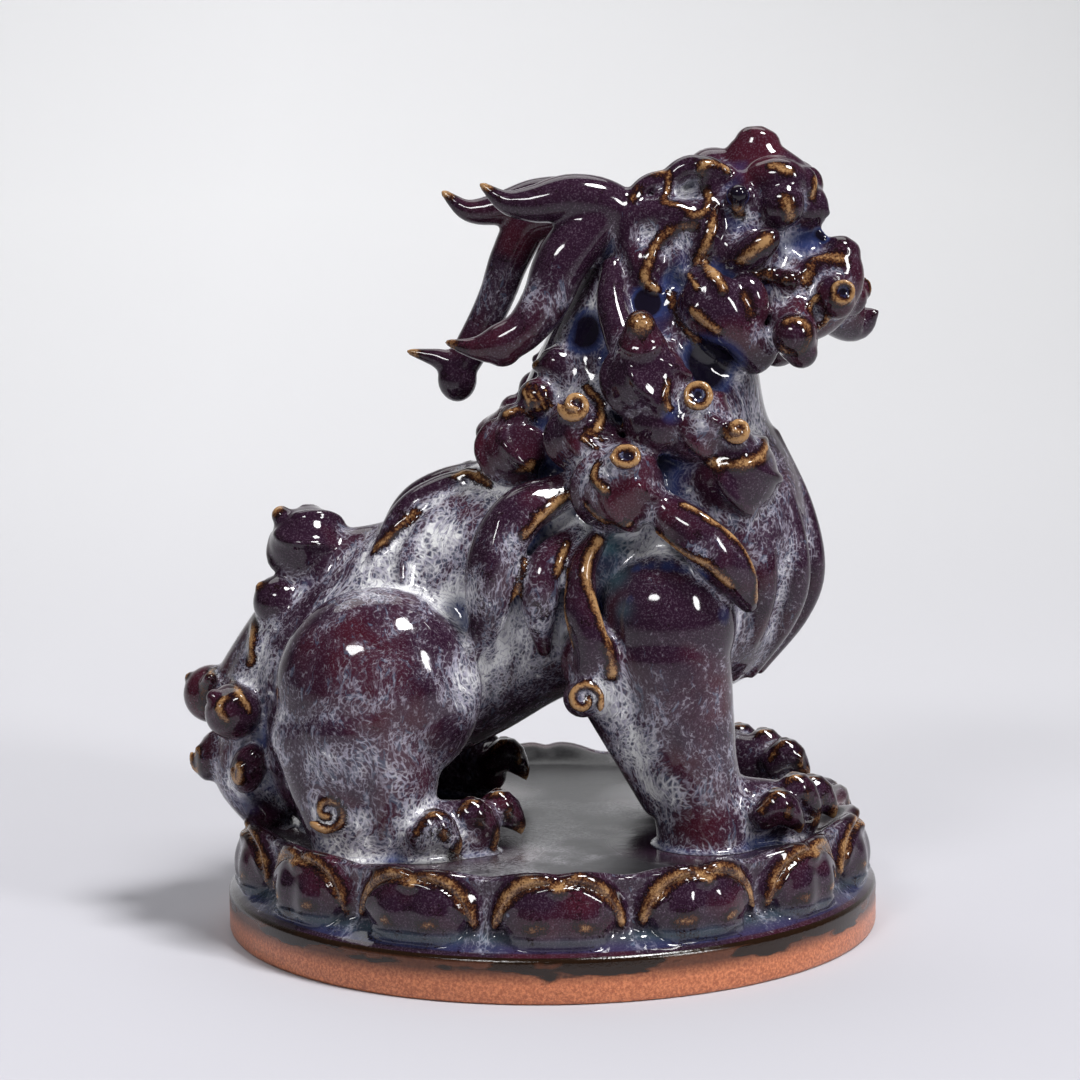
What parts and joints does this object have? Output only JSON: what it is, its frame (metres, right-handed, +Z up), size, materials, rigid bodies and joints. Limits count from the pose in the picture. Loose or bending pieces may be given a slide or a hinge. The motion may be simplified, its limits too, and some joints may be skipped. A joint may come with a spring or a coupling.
{
  "type": "glazed beast statue",
  "caption": "Seated mythical beast with raised head, curled mane and upright curled tail, fired in one with a round lotus plinth.",
  "frame": {"origin": "middle of the plinth's flat underside", "axes": "+Z up, +X the way the beast's body faces, -Y its right flank"},
  "size_m": [0.1953, 0.18, 0.2185],
  "materials": {
    "flambe_glaze": "glossy streaked glaze over stoneware"
  },
  "bodies": {
    "root": {"beast_on_lotus_plinth": "flambe_glaze"}
  },
  "joints": []
}
